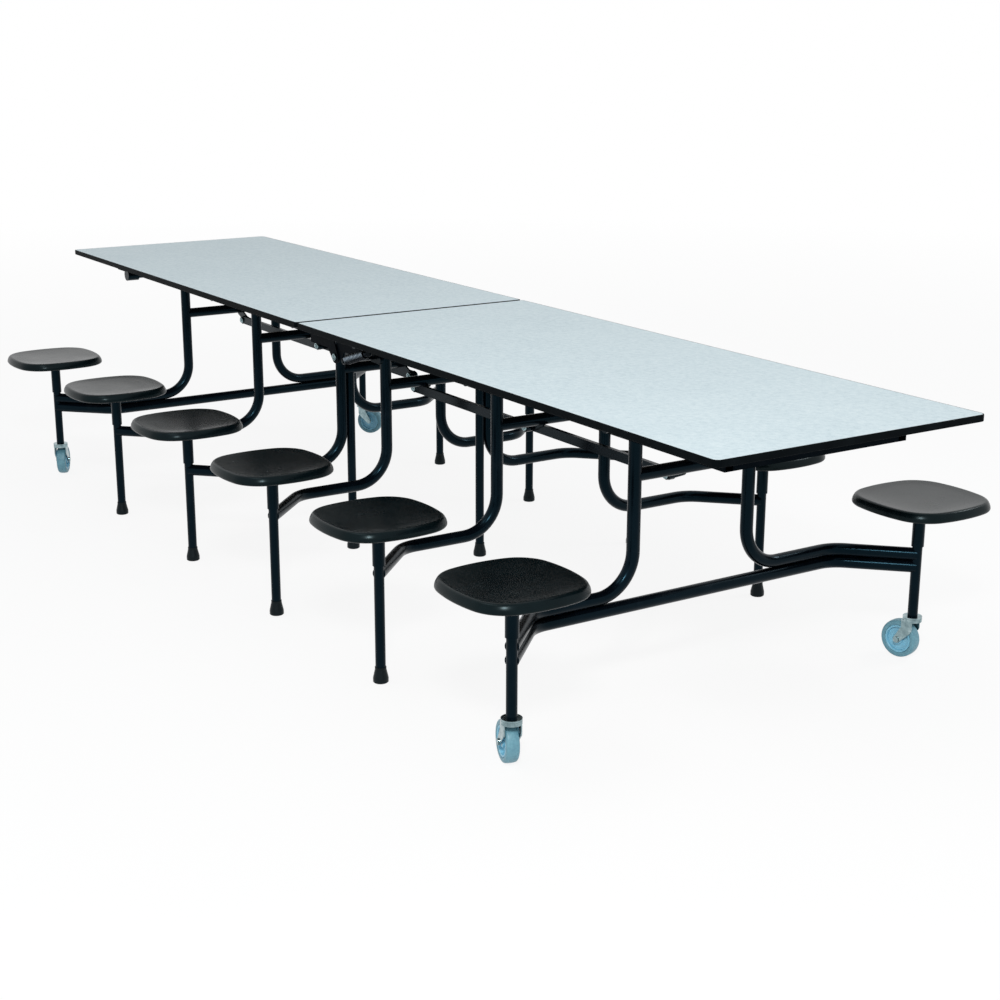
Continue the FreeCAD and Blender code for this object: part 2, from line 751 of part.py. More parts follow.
def half_table(half):
    """Every node of one half, built as the near half and turned about Z for the far half."""
    turn = 0 if half == "near" else 180
    nodes = {
        "tabletop": [tabletop()],
        "laminate": [laminate()],
        "edge_band": [edge_band()],
        "rails": rails(),
        "hinge_leaves": hinge_leaves(),
        "pivot_bushings": pivot_bushings(),
        "lift_spring": lift_spring(),
        "fold_struts": struts(),
    }
    for row in ROWS:
        nodes[row + "_frame"] = frame(row)
        if row != "end":
            nodes[row + "_glides"] = glides(row)
    nodes["caster_stems"] = [placed(caster_stem(), seat_x("end"), s * seat_y, 0) for s in SIDES.values()]
    return {half + "_" + name: [placed(solid, 0, 0, turn) for solid in solids]
            for name, solids in nodes.items()}


def seats_and_casters(half):
    """Nodes that turn by themselves: seats with their swivels, caster forks and caster wheels."""
    end = 1 if half == "near" else -1
    nodes = {}
    for side, s in SIDES.items():
        for row in ROWS:
            where = half + "_" + row + "_" + side
            nodes["seat_" + where] = [placed(seat_moulding(), end * seat_x(row), s * seat_y, 0)]
            nodes["seat_swivel_" + where] = [placed(seat_swivel(), end * seat_x(row), s * seat_y, 0)]
        angle = caster_angles_deg[half, side]
        place = (end * seat_x("end"), s * seat_y, angle)
        nodes["caster_fork_" + half + "_" + side] = [placed(solid, *place) for solid in caster_fork()]
        nodes["caster_wheel_" + half + "_" + side] = [placed(solid, *place) for solid in caster_wheel()]
    return nodes


def write_nodes():
    os.makedirs("parts", exist_ok=True)
    for half in ("near", "far"):
        for name, solids in {**half_table(half), **seats_and_casters(half)}.items():
            shape = solids[0] if len(solids) == 1 else Part.makeCompound(solids)
            shape.exportStep(os.path.join("parts", name + ".step"))
            print(name, len(shape.Solids), "solids", round(shape.Volume / 1000), "cm3", shape.isValid())


write_nodes()
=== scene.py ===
# %% [markdown]
# This lesson dresses a folding canteen table with attached swivel seats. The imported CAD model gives
# every tube, plate and leaf its place. This file adds finishes, the moulded and turned surfaces that
# need more curve than the CAD facets have, and the light and camera of a plain studio.

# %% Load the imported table
import json
import math

import bmesh
import bpy
import numpy as np
from mathutils import Matrix, Vector


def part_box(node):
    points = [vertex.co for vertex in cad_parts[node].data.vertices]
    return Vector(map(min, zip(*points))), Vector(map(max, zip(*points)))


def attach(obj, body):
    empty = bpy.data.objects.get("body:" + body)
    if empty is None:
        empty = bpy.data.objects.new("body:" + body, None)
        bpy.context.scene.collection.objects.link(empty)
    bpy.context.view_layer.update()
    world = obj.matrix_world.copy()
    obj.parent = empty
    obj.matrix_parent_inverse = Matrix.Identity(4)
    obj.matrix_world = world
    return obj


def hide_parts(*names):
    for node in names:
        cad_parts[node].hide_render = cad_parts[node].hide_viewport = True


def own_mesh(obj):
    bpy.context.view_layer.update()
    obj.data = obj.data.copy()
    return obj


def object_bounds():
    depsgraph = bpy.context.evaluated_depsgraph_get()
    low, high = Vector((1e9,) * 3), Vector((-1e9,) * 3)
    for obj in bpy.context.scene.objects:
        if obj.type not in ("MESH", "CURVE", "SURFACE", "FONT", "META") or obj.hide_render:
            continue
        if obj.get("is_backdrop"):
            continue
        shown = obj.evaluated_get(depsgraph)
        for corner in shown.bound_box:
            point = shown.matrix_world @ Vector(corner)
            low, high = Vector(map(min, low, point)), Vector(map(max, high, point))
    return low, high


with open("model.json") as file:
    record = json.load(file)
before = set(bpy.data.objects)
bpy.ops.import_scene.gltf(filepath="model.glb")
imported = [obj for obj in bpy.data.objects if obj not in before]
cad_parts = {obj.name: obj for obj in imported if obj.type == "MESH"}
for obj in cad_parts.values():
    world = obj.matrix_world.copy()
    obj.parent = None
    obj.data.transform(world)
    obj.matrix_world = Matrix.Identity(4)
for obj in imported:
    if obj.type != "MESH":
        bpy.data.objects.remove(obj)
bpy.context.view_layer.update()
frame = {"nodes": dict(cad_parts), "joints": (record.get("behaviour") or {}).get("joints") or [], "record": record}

mm = 0.001
nodes = frame["nodes"]
joints = {joint["name"]: joint for joint in frame["joints"]}
slot_of = {part["node"]: part["material_slot"] for part in frame["record"]["subparts"]}

# %% [markdown]
# A finish is a small network of shader nodes. Wiring them one by one hides the idea, so one class
# wraps an output socket and lets Python arithmetic add the Math nodes. Any other node comes from its
# one method, which sets the node up first and then fills in or links its sockets.

# %% A socket that does arithmetic
class Wire:
    """One output of a shader node. Sums and products of wires and numbers become Math nodes."""

    def __init__(self, tree, output=None):
        self.tree = tree
        self.output = output

    def node(self, kind, settings=None, sockets=None, out=0):
        """Adds a node, sets it up, fills in or links its sockets, and gives one of its outputs."""
        made = self.tree.nodes.new(kind)
        for key, value in (settings or {}).items():
            if key == "stops":
                stops = made.color_ramp.elements
                while len(stops) < len(value):
                    stops.new(1.0)
                for stop, (place, colour) in zip(stops, value):
                    stop.position = place
                    stop.color = (*colour, 1.0)
            else:
                setattr(made, key, value)
        for key, value in (sockets or {}).items():
            if isinstance(value, Wire):
                self.tree.links.new(value.output, made.inputs[key])
            else:
                made.inputs[key].default_value = value
        return Wire(self.tree, made.outputs[out]) if len(made.outputs) else None

    def maths(self, operation, first, second):
        """A Math node on two wires, or on a wire and a number."""
        return self.node("ShaderNodeMath", {"operation": operation}, {0: first, 1: second})

    def __add__(self, other):
        return self.maths("ADD", self, other)

    def __radd__(self, other):
        return self.maths("ADD", other, self)

    def __mul__(self, other):
        return self.maths("MULTIPLY", self, other)

    def __rmul__(self, other):
        return self.maths("MULTIPLY", other, self)


print("a wire adds and multiplies")

# %% [markdown]
# Every finish on the table begins and ends in the same way: it reads the place on the piece, and it
# closes in one Principled shader. Between the two stand noises, colour ramps and mixes. These could be
# written out each time, but short helpers keep a finish down to the lines that make it different.

# %% Helpers for finishes
def new_finish(name):
    """An empty material, a wire to start from, and the place on the piece in metres."""
    material = bpy.data.materials.new(name)
    material.use_nodes = True
    material.node_tree.nodes.clear()
    start = Wire(material.node_tree)
    return material, start, start.node("ShaderNodeTexCoord", {}, {}, "Object")


def close_finish(start, sockets, bump=None, bump_height=0.0):
    """Ends a finish in one Principled shader. A bump wire of value 1 stands bump_height proud."""
    sockets = dict(sockets)
    if bump is not None:
        sockets["Normal"] = start.node(
            "ShaderNodeBump", {}, {"Strength": 1.0, "Distance": bump_height, "Height": bump})
    shader = start.node("ShaderNodeBsdfPrincipled", {}, sockets)
    start.node("ShaderNodeOutputMaterial", {}, {"Surface": shader})


def grain(start, place, scale, detail=2.0, roughness=0.5):
    """Noise of about one blob per 1/scale metres, from 0 to 1."""
    return start.node("ShaderNodeTexNoise", {"noise_dimensions": "3D"},
                      {"Vector": place, "Scale": scale, "Detail": detail, "Roughness": roughness},
                      "Fac")


def ramp(start, value, stops):
    """Colour read off a row of (value, colour) stops, straight from each stop to the next."""
    return start.node("ShaderNodeValToRGB", {"stops": stops}, {"Fac": value}, "Color")


def blend_colour(start, share, first, second):
    """Colour that goes from first to second as share goes from 0 to 1."""
    return start.node("ShaderNodeMix", {"data_type": "RGBA", "clamp_factor": True},
                      {"Factor": share, 6: first, 7: second}, 2)


def between(value, least, most):
    """Value that goes from least to most as a wire goes from 0 to 1: least + wire * (most - least)."""
    return value * (most - least) + least


finishes = {}
print("shader helpers ready")

# %% [markdown]
# The table's face is a high-pressure laminate: a printed sheet of pale blue-grey with a mottled fleck,
# pressed under a satin clear layer. The print could be an image, but three noises of different grain
# give the same cloudy fleck at any distance and need no file.

# %% Laminate
fleck_scale, cloud_scale, drift_scale = 420.0, 75.0, 6.0
fleck_share, cloud_share, drift_share = 0.45, 0.45, 0.1
satin_least, satin_most, laminate_reflect = 0.42, 0.48, 0.15
laminate_relief = 0.02 * mm
laminate_stops = [(0.30, (0.416, 0.528, 0.575)), (0.46, (0.558, 0.668, 0.708)),
                  (0.56, (0.619, 0.723, 0.757)), (0.72, (0.73, 0.808, 0.827))]

material, start, place = new_finish("speckled_laminate")
fine_fleck = grain(start, place, fleck_scale, detail=3.0, roughness=0.7)
soft_cloud = grain(start, place, cloud_scale, detail=4.0, roughness=0.65)
broad_drift = grain(start, place, drift_scale)
fleck = fine_fleck * fleck_share + soft_cloud * cloud_share + broad_drift * drift_share
close_finish(start, {"Base Color": ramp(start, fleck, laminate_stops),
                     "Roughness": between(broad_drift, satin_least, satin_most),
                     "Specular IOR Level": laminate_reflect}, fine_fleck, laminate_relief)
finishes["laminate"] = material
print("laminate fleck:", [round(1.0 / (scale * mm), 1) for scale in (fleck_scale, cloud_scale)], "mm")

# %% [markdown]
# Below the laminate is pressed board closed by a brown backing sheet. Only its underside shows. One
# flat brown would look like plastic, so a noise that is stretched along the leaf gives it the darker
# fibres of paper, and a round noise mottles it.

# %% Backing sheet of the leaf
fibre_stretch = (6.0, 90.0, 90.0)
fibre_share, mottle_share = 0.6, 0.4
paper_least, paper_most = 0.5, 0.7
paper_relief = 0.05 * mm
backing_stops = [(0.32, (0.055, 0.040, 0.029)), (0.5, (0.085, 0.062, 0.045)),
                 (0.7, (0.125, 0.094, 0.068))]

material, start, place = new_finish("backing_sheet")
stretched = start.node("ShaderNodeMapping", {}, {"Vector": place, "Scale": fibre_stretch})
fibre = grain(start, stretched, scale=6.0, detail=4.0, roughness=0.6)
mottle = grain(start, place, scale=130.0, detail=3.0, roughness=0.6)
tone = fibre * fibre_share + mottle * mottle_share
close_finish(start, {"Base Color": ramp(start, tone, backing_stops),
                     "Roughness": between(mottle, paper_least, paper_most)}, mottle, paper_relief)
finishes["core"] = material
print("backing sheet: fibres", round(fibre_stretch[1] / fibre_stretch[0]), "times as long as wide")

# %% [markdown]
# The edge band, the glides and the seats are moulded plastic. All three are black, so what tells them
# apart is how sharply they shine. Three networks would differ only in a few numbers, so one recipe
# makes all of them.

# %% Black plastics
dark_share, pale_share, dust_film = 0.75, 1.25, 0.0004
polish_swing, dust_swing = 0.12, 0.04
plastic_sheen = (0.70, 0.94, 1.0, 1.0)


def black_plastic(name, tone, shine, reflect):
    """Moulded black plastic: a trace of dust in the colour, and a slow drift of gloss from handling.
    The roughness is shine, give or take half of each swing."""
    material, start, place = new_finish(name)
    dust = grain(start, place, scale=26.0)
    polish = grain(start, place, scale=9.0)
    dark = tuple(dark_share * part for part in tone)
    pale = tuple(pale_share * part + dust_film for part in tone)
    colour = ramp(start, dust, [(0.32, dark), (0.55, tone), (0.78, pale)])
    least = shine - (polish_swing + dust_swing) / 2
    close_finish(start, {"Base Color": colour,
                         "Roughness": polish * polish_swing + dust * dust_swing + least,
                         "Specular IOR Level": reflect, "Specular Tint": plastic_sheen})
    return material


finishes["edge_band"] = black_plastic("moulded_edge", tone=(0.0026, 0.0038, 0.0048),
                                      shine=0.46, reflect=0.02)
finishes["glide"] = black_plastic("nylon_glide", tone=(0.0034, 0.0048, 0.0064),
                                  shine=0.34, reflect=0.16)
finishes["seat"] = black_plastic("seat_moulding", tone=(0.0014, 0.0044, 0.0056),
                                 shine=0.25, reflect=0.13)
print("plastics:", [finishes[key].name for key in ("edge_band", "glide", "seat")])

# %% [markdown]
# Frames, rails, hinges and struts are steel under black powder coat. Baked powder has a faint
# orange-peel skin that breaks up a highlight, and a little grey rubs through where feet and floors
# touch it. A bump from a fine noise gives the skin without more faces. The rails and hinge plates
# under the leaf are never polished by hands, so the same recipe also makes a duller coat for them.

# %% Powder coat
coat_cloud_share, coat_scuff_share = 0.6, 0.4
cloud_swing, scuff_swing = 0.10, 0.06
peel_height = 0.03 * mm
coat_sheen = (0.28, 0.72, 1.0, 1.0)
coat_stops = [(0.35, (0.0006, 0.0014, 0.0028)), (0.55, (0.0014, 0.0028, 0.0050)),
              (0.75, (0.0055, 0.0072, 0.0100))]


def powder_coat(name, least, reflect):
    """Baked black powder: cloudy and scuffed in colour and gloss, over a fine orange peel. The
    roughness is least plus a swing for each noise."""
    material, start, place = new_finish(name)
    peel = grain(start, place, scale=330.0)
    cloud = grain(start, place, scale=14.0, detail=4.0, roughness=0.6)
    scuff = grain(start, place, scale=60.0, detail=6.0, roughness=0.75)
    worn = cloud * coat_cloud_share + scuff * coat_scuff_share
    close_finish(start, {"Base Color": ramp(start, worn, coat_stops),
                         "Roughness": cloud * cloud_swing + scuff * scuff_swing + least,
                         "Specular IOR Level": reflect, "Specular Tint": coat_sheen},
                 peel, peel_height)
    return material


finishes["black_frame"] = powder_coat("black_powder_coat", least=0.12, reflect=0.13)
dull_coat = powder_coat("dull_powder_coat", least=0.42, reflect=0.03)
print("powder coats:", finishes["black_frame"].name, "and", dull_coat.name)

# %% [markdown]
# The lift springs are plated spring wire: a bright, slightly blue metal with a faint drawn streak
# that shows as a change of gloss. Inside the coil and under it the colour is a painted shade, and
# only the outer top of the wire keeps its bright colour, as if lit. A noise can't know where that
# is, so the colour follows an attribute of the mesh that is 0 inside the coil and below it, and 1
# outside on top.

# %% Spring wire
# The dark colour below is painted shade for the inside and underside of the coil.
painted_coil_shade = (0.012, 0.015, 0.019, 1.0)
wire_least, wire_most = 0.16, 0.36
wire_stops = [(0.35, (0.46, 0.58, 0.70)), (0.7, (0.62, 0.74, 0.84))]

material, start, place = new_finish("plated_spring_wire")
streak = grain(start, place, scale=210.0, detail=3.0, roughness=0.6)
# 0 where the coil takes painted shade, 1 where its outer top keeps the bright wire colour.
painted_light_share = start.node("ShaderNodeAttribute", {"attribute_name": "outer_side"}, {}, "Fac")
colour = blend_colour(start, painted_light_share, painted_coil_shade, ramp(start, streak, wire_stops))
close_finish(start, {"Base Color": colour, "Metallic": 1.0,
                     "Roughness": between(streak, wire_least, wire_most)})
finishes["spring_steel"] = material
print("spring wire reads the attribute outer_side")

# %% [markdown]
# Caster forks and bolt ends are bright zinc plate: a real metal, slightly bluish, with cloudy patches
# from the plating bath. A grey paint would look flat, because a metal takes its look from what it
# reflects, so the finish is fully metallic and most of the work is in the roughness.

# %% Zinc plate
bath_swing, brush_swing, zinc_least = 0.12, 0.06, 0.06
brush_depth = 0.03 * mm
zinc_stops = [(0.3, (0.15, 0.22, 0.24)), (0.55, (0.27, 0.37, 0.39)), (0.75, (0.46, 0.57, 0.59))]

material, start, place = new_finish("bright_zinc_plate")
bath = grain(start, place, scale=70.0, detail=4.0, roughness=0.6)
brush = grain(start, place, scale=600.0)
close_finish(start, {"Base Color": ramp(start, bath, zinc_stops), "Metallic": 1.0,
                     "Roughness": bath * bath_swing + brush * brush_swing + zinc_least},
             brush, brush_depth)
finishes["zinc"] = material
print("zinc plate: roughness", zinc_least, "to", round(zinc_least + bath_swing + brush_swing, 2))

# %% [markdown]
# The caster wheels have a blue-grey rubber tyre on a lighter plastic hub. One finish with a mask could
# colour both, but they are separate pieces, so each has its own: the tyre is the duller of the two.

# %% Tyre and hub
wheel_dust_share, wheel_speck_share = 0.75, 0.25
wheel_swing = 0.1
wheel_relief = 0.04 * mm


def wheel_plastic(name, dark, pale, shine):
    """Dusty rubber or plastic: dark to pale with the dust, which also makes it rougher or smoother
    than shine by the swing."""
    material, start, place = new_finish(name)
    dust = grain(start, place, scale=55.0, detail=5.0, roughness=0.7)
    speck = grain(start, place, scale=400.0)
    dirt = dust * wheel_dust_share + speck * wheel_speck_share
    close_finish(start, {"Base Color": ramp(start, dirt, [(0.3, dark), (0.7, pale)]),
                         "Roughness": between(dust, shine - wheel_swing, shine + wheel_swing)},
                 speck, wheel_relief)
    return material


tyre_finish = wheel_plastic("caster_tyre", dark=(0.085, 0.225, 0.300), pale=(0.165, 0.370, 0.440),
                            shine=0.42)
hub_finish = wheel_plastic("caster_hub", dark=(0.150, 0.430, 0.590), pale=(0.270, 0.580, 0.730),
                           shine=0.34)
finishes["wheel"] = tyre_finish
print("wheel finishes:", tyre_finish.name, "and", hub_finish.name)

# %% [markdown]
# Each CAD piece names the material slot that it is made of. Finishes could be assigned piece by piece,
# but a table from slot to finish dresses all of them at once, and only the rails and hinge plates get
# the duller coat by name.

# %% Finishes on the CAD pieces
dull_pieces = ("_rails", "_hinge_leaves")
for name, piece in nodes.items():
    piece.data.materials.clear()
    piece.data.materials.append(
        dull_coat if name.endswith(dull_pieces) else finishes[slot_of[name]])
print("finishes on CAD nodes:", sorted(finishes))

# %% [markdown]
# New surfaces are grids: one direction goes around the piece and the other along its profile.
# Blender's Spin and Screw tools could make them too, but with arrays the whole shape is one formula.
# The grid is an array of points, its faces come from index arithmetic, and merging equal points
# closes the seam and the poles.

# %% From a grid of points to a piece
merge_distance, sliver_length = 1e-6, 1e-7


def add_object(name, data):
    """A new object in the scene, at the origin, that shows the data."""
    made = bpy.data.objects.new(name, data)
    bpy.context.scene.collection.objects.link(made)
    return made


def sheet_faces(rows, columns):
    """Quads between neighbouring rows and columns of a grid of rows by columns points."""
    index = np.arange(rows * columns).reshape(rows, columns)
    corners = [index[:-1, :-1], index[:-1, 1:], index[1:, 1:], index[1:, :-1]]
    return np.stack(corners, axis=-1).reshape(-1, 4)


def make_piece(name, grids, finish, body, sharp_deg=40.0):
    """One mesh piece from several grids of points, smooth but for edges sharper than sharp_deg."""
    points, faces, count = [], [], 0
    for grid in grids:
        rows, columns = grid.shape[:2]
        points.append(grid.reshape(-1, 3))
        faces.append(sheet_faces(rows, columns) + count)
        count += rows * columns
    mesh = bpy.data.meshes.new(name)
    mesh.from_pydata(np.concatenate(points).tolist(), [], np.concatenate(faces).tolist())
    build = bmesh.new()
    build.from_mesh(mesh)
    bmesh.ops.remove_doubles(build, verts=build.verts, dist=merge_distance)
    bmesh.ops.dissolve_degenerate(build, dist=sliver_length, edges=build.edges)
    bmesh.ops.recalc_face_normals(build, faces=build.faces)
    build.to_mesh(mesh)
    build.free()
    mesh.polygons.foreach_set("use_smooth", np.ones(len(mesh.polygons), bool))
    mesh.set_sharp_from_angle(angle=math.radians(sharp_deg))
    mesh.materials.append(finish)
    piece = add_object(name, mesh)
    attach(piece, body)
    return piece


def smooth_profile(knots, steps):
    """Catmull-Rom curve through the knots: each span is a cubic whose slope at a knot is half the
    step from the knot before to the knot after."""
    knots = np.asarray(knots, float)
    padded = np.concatenate([knots[:1], knots, knots[-1:]])[:, None, :]
    before, here, after, later = padded[:-3], padded[1:-2], padded[2:-1], padded[3:]
    t = np.linspace(0.0, 1.0, steps, endpoint=False)[None, :, None]
    curve = 0.5 * (2 * here + (after - before) * t
                   + (2 * before - 5 * here + 4 * after - later) * t ** 2
                   + (3 * here - before - 3 * after + later) * t ** 3)
    return np.concatenate([curve.reshape(-1, knots.shape[1]), knots[-1:]])


def turned(profile, centre, axis, steps):
    """Profile of (radius, height) pairs carried once around an axis through the centre: the centre,
    plus radius times a unit ring across the axis, plus height times the axis."""
    axis = Vector(axis).normalized()
    side = axis.orthogonal().normalized()
    other = axis.cross(side)
    angle = np.linspace(0.0, 2.0 * np.pi, steps + 1)[None, :, None]
    ring = np.cos(angle) * np.array(side) + np.sin(angle) * np.array(other)
    radius, height = np.asarray(profile, float).T[:, :, None, None]
    return np.array(centre) + radius * ring + height * np.array(axis)


print("grid helpers ready")

# %% [markdown]
# Each seat is one moulding: a rounded square with a rolled edge and a shallow dish. It could be a cube
# under a subdivision surface, but its outline is four flat side arcs and four corner arcs that meet
# smoothly, so in polar form the radius is a formula of the angle. The profile says how far out and how
# high each ring lies, and how square it is: the dish and the recess underneath are round.

# %% Outline of a seat
corner_share, side_share = 0.60, 2.55


def rounded_square(angle):
    """Distance from the middle to a rounded square of half-width 1. A side arc has its middle behind
    the centre, a corner arc has its middle on the diagonal, and both touch where the angle passes the
    joint."""
    sink = side_share - 1.0
    nest = side_share - corner_share
    middle = (math.sqrt(2 * nest ** 2 - sink ** 2) - sink) / 2
    spread = math.atan2(middle, middle + sink)
    joint = math.atan2(side_share * math.sin(spread), side_share * math.cos(spread) - sink)
    fold = np.abs((angle + np.pi / 4) % (np.pi / 2) - np.pi / 4)
    side = -sink * np.cos(fold) + np.sqrt(side_share ** 2 - (sink * np.sin(fold)) ** 2)
    reach = np.maximum(corner_share ** 2 - (middle * (np.cos(fold) - np.sin(fold))) ** 2, 0.0)
    corner = middle * (np.cos(fold) + np.sin(fold)) + np.sqrt(reach)
    return np.where(fold < joint, side, corner)


seat_steps = 128
around = np.linspace(0.0, 2.0 * np.pi, seat_steps + 1)
square = rounded_square(around)
print("a seat's corner reaches", round(float(square.max()), 3), "times its half-width")

# %% [markdown]
# The seat's profile starts in the middle of the underside, goes down the wall of the recess and round
# the rolled edge, and ends in the middle of the dish. Only the edge and the dish are curved, so only
# they go through the smooth curve. All twelve seats are this one grid, moved to their CAD places.

# %% Seats
seat_half, recess_radius = 150.0 * mm, 118.0 * mm
recess_share = recess_radius / seat_half
bottom, recess_roof, crease = 403.0, 409.0, 0.1
# Each row is a share of the half-width, a height in millimetres, and how square the ring is.
underside = np.array([(0.0, recess_roof, 0.0), (0.35, recess_roof, 0.0),
                      (recess_share, recess_roof, 0.0), (recess_share, recess_roof - crease, 0.0),
                      (recess_share, bottom + crease, 0.0), (recess_share, bottom, 0.0),
                      (0.87, bottom, 0.7)])
rolled_edge = smooth_profile([(0.950, bottom, 1.0), (0.976, 404.0, 1.0), (0.992, 406.2, 1.0),
                              (0.998, 409.4, 1.0), (0.991, 415.5, 1.0), (0.972, 422.0, 1.0),
                              (0.955, 425.6, 1.0), (0.932, 427.5, 1.0), (0.905, 427.9, 1.0),
                              (0.840, 427.2, 0.97), (0.700, 425.9, 0.85), (0.450, 424.7, 0.5),
                              (0.200, 424.1, 0.15), (0.0, 424.0, 0.0)], steps=6)
out_share, height, squareness = np.concatenate([underside, rolled_edge]).T[:, :, None]
seat_rings = seat_half * out_share * (1 + squareness * (square - 1))
seat_grid = np.stack([seat_rings * np.cos(around), seat_rings * np.sin(around),
                      np.broadcast_to(height * mm, seat_rings.shape)], axis=-1)
seat_names = sorted(name for name in nodes if name.startswith("seat_") and "swivel" not in name)
for name in seat_names:
    low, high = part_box(name)
    middle = np.array([(low.x + high.x) / 2, (low.y + high.y) / 2, 0.0])
    seat = make_piece(name + "_moulding", [seat_grid + middle], finishes["seat"], name,
                      sharp_deg=50.0)
    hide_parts(name)
print("seats:", len(seat_names), "width:", round(float(np.ptp(seat_grid[:, :, 0])) / mm), "mm")

# %% [markdown]
# A caster wheel is a turned shape, so its profile goes round the axle. The tyre has a crowned tread
# and soft shoulders, and the hub a raised rim, a thin web and a boss at the axle. A torus would do for
# the tyre from far away, but it has no flat tread.

# %% Caster wheels
wheel_steps = 72
# Each pair is a radius and a place along the axle, in millimetres.
tyre_profile = smooth_profile([(36.0, -13.6), (37.6, -15.2), (41.5, -15.5), (45.4, -14.6),
                               (47.9, -11.6), (48.8, -6.0), (49.0, 0.0), (48.8, 6.0),
                               (47.9, 11.6), (45.4, 14.6), (41.5, 15.5), (37.6, 15.2),
                               (36.0, 13.6)], steps=4) * mm
tyre_profile = np.concatenate([tyre_profile, tyre_profile[:1]])
hub_half = np.array([(5.2, 15.2), (11.5, 15.2), (13.0, 14.0), (13.6, 7.4), (15.0, 7.0), (28.0, 6.6),
                     (29.6, 7.4), (30.6, 13.6), (32.0, 14.6), (35.0, 14.6), (35.8, 13.2)])
hub_profile = np.concatenate([hub_half * (1, -1), hub_half[::-1], hub_half[:1] * (1, -1)]) * mm
for name in sorted(name for name in nodes if name.startswith("caster_wheel")):
    roll = joints[name.replace("caster_wheel", "wheel_roll")]
    tyre_grid = turned(tyre_profile, roll["pos_m"], roll["axis"], wheel_steps)
    hub_grid = turned(hub_profile, roll["pos_m"], roll["axis"], wheel_steps)
    tyre = make_piece(name + "_tyre", [tyre_grid], tyre_finish, name)
    hub = make_piece(name + "_hub", [hub_grid], hub_finish, name, sharp_deg=30.0)
    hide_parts(name)
    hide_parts(name)
print("caster wheels: tyre rings", len(tyre_profile), "hub rings", len(hub_profile))

# %% [markdown]
# A lift spring is a round wire wound as a helix between two eye plugs. A curve with a bevel could draw
# it, but here the helix is a path, and the wire is a circle carried along it in the plane across the
# path, so the coil stays evenly thick and every point of it is known.

# %% Winding a coil
wire_radius = 2.25 * mm
coil_radius = 11.75 * mm
coil_turns = 14
steps_per_turn, steps_round_wire = 36, 12


def coil_grid(foot, direction, side, length):
    """Wire circle carried along a helix: at each turn the circle lies in the plane of the line out
    from the axis and of the heading's cross product with that line. It closes to a point at each
    end."""
    turn = np.linspace(0.0, 2.0 * np.pi * coil_turns, coil_turns * steps_per_turn + 1)
    direction, side = np.array(direction), np.array(side)
    third = np.cross(direction, side)
    out = np.cos(turn)[:, None] * side + np.sin(turn)[:, None] * third
    tangent = -np.sin(turn)[:, None] * side + np.cos(turn)[:, None] * third
    rise = length / (2.0 * np.pi * coil_turns)
    path = np.array(foot) + coil_radius * out + rise * turn[:, None] * direction
    heading = coil_radius * tangent + rise * direction
    heading = heading / np.linalg.norm(heading, axis=1, keepdims=True)
    across = np.cross(heading, out)
    ring = np.linspace(0.0, 2.0 * np.pi, steps_round_wire + 1)[None, :, None]
    taper = np.ones((len(turn), 1, 1))
    taper[[0, -1]] = 0.0
    circle = np.cos(ring) * out[:, None, :] + np.sin(ring) * across[:, None, :]
    return path[:, None, :] + wire_radius * taper * circle


print("coil:", coil_turns, "turns of", round(2 * wire_radius / mm, 1), "mm wire")

# %% [markdown]
# The spring hangs between a pin on the centre frame and a pin under the leaf, with a turned plug and
# an eye at each end. The leaf carries the upper pin to half its distance as the table folds up.
# The attribute for its painted shade is worked out from the finished mesh: how far a point lies
# out from the spring's line, and how far it lies above it.

# %% Lift springs
upper_pin_x, upper_pin_z = 254.0 * mm, 683.0 * mm
lower_pin_x, lower_pin_z = 100.0 * mm, 634.0 * mm
spring_y = -285.0 * mm
eye_length = 24.0 * mm
eye_radius, eye_wire_radius = 7.4 * mm, 2.3 * mm
above_slope, above_middle = 1.2, 0.6
plug_steps, eye_steps = 32, 24
halves = (("near", 1.0), ("far", -1.0))
# Each pair is a radius and a distance from the pin, in millimetres.
plug_profile = np.array([(0.0, 10.0), (4.0, 10.0), (4.4, 16.0), (8.4, 19.0), (9.1, 21.0),
                         (9.1, 38.0), (8.4, 38.6), (0.0, 38.6)]) * mm
eye_turn = np.linspace(0.0, 2.0 * np.pi, eye_steps + 1)
eye_profile = np.stack([eye_radius + eye_wire_radius * np.cos(eye_turn),
                        eye_wire_radius * np.sin(eye_turn)], axis=1)
for half, sign in halves:
    upper = Vector((sign * upper_pin_x, sign * spring_y, upper_pin_z))
    lower = Vector((sign * lower_pin_x, sign * spring_y, lower_pin_z))
    line = (upper - lower).normalized()
    cross = Vector((0.0, sign, 0.0))
    coil_length = (upper - lower).length - 2 * eye_length
    grids = [coil_grid(lower + line * eye_length, line, cross, coil_length)]
    for pin, way in ((lower, line), (upper, -line)):
        grids.append(turned(plug_profile, pin, way, plug_steps))
        grids.append(turned(eye_profile, pin, cross, plug_steps))
    spring = make_piece(half + "_lift_coil", grids, finishes["spring_steel"],
                        half + "_centre_frame", sharp_deg=60.0)
    points = np.empty(3 * len(spring.data.vertices))
    spring.data.vertices.foreach_get("co", points)
    arm = points.reshape(-1, 3) - np.array(lower)
    spoke = arm - np.outer(arm @ np.array(line), np.array(line))
    away = np.linalg.norm(spoke, axis=1)
    # The next lines paint shade on the wire's underside and inside the coil, and leave its outer top bright as if
    # lit.
    lift = spoke[:, 2] / np.maximum(away, wire_radius)
    above = np.clip(above_slope * lift + above_middle, 0.0, 1.0)
    outer = np.clip((away - coil_radius) / wire_radius, 0.0, 1.0) * above
    spring.data.attributes.new("outer_side", "FLOAT", "POINT").data.foreach_set("value", outer)
    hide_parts(half + "_lift_spring")
    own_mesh(spring)
    print(half, "lift spring: coil", round(coil_length / mm), "mm long")

# %% [markdown]
# Screws hold the hinge flanges to the board. They could be a bump in the finish, but a bump has no
# outline from the side. Each head is a low dome on a washer rim, the same small grid moved to many
# places, and all the heads of a leaf are one piece.

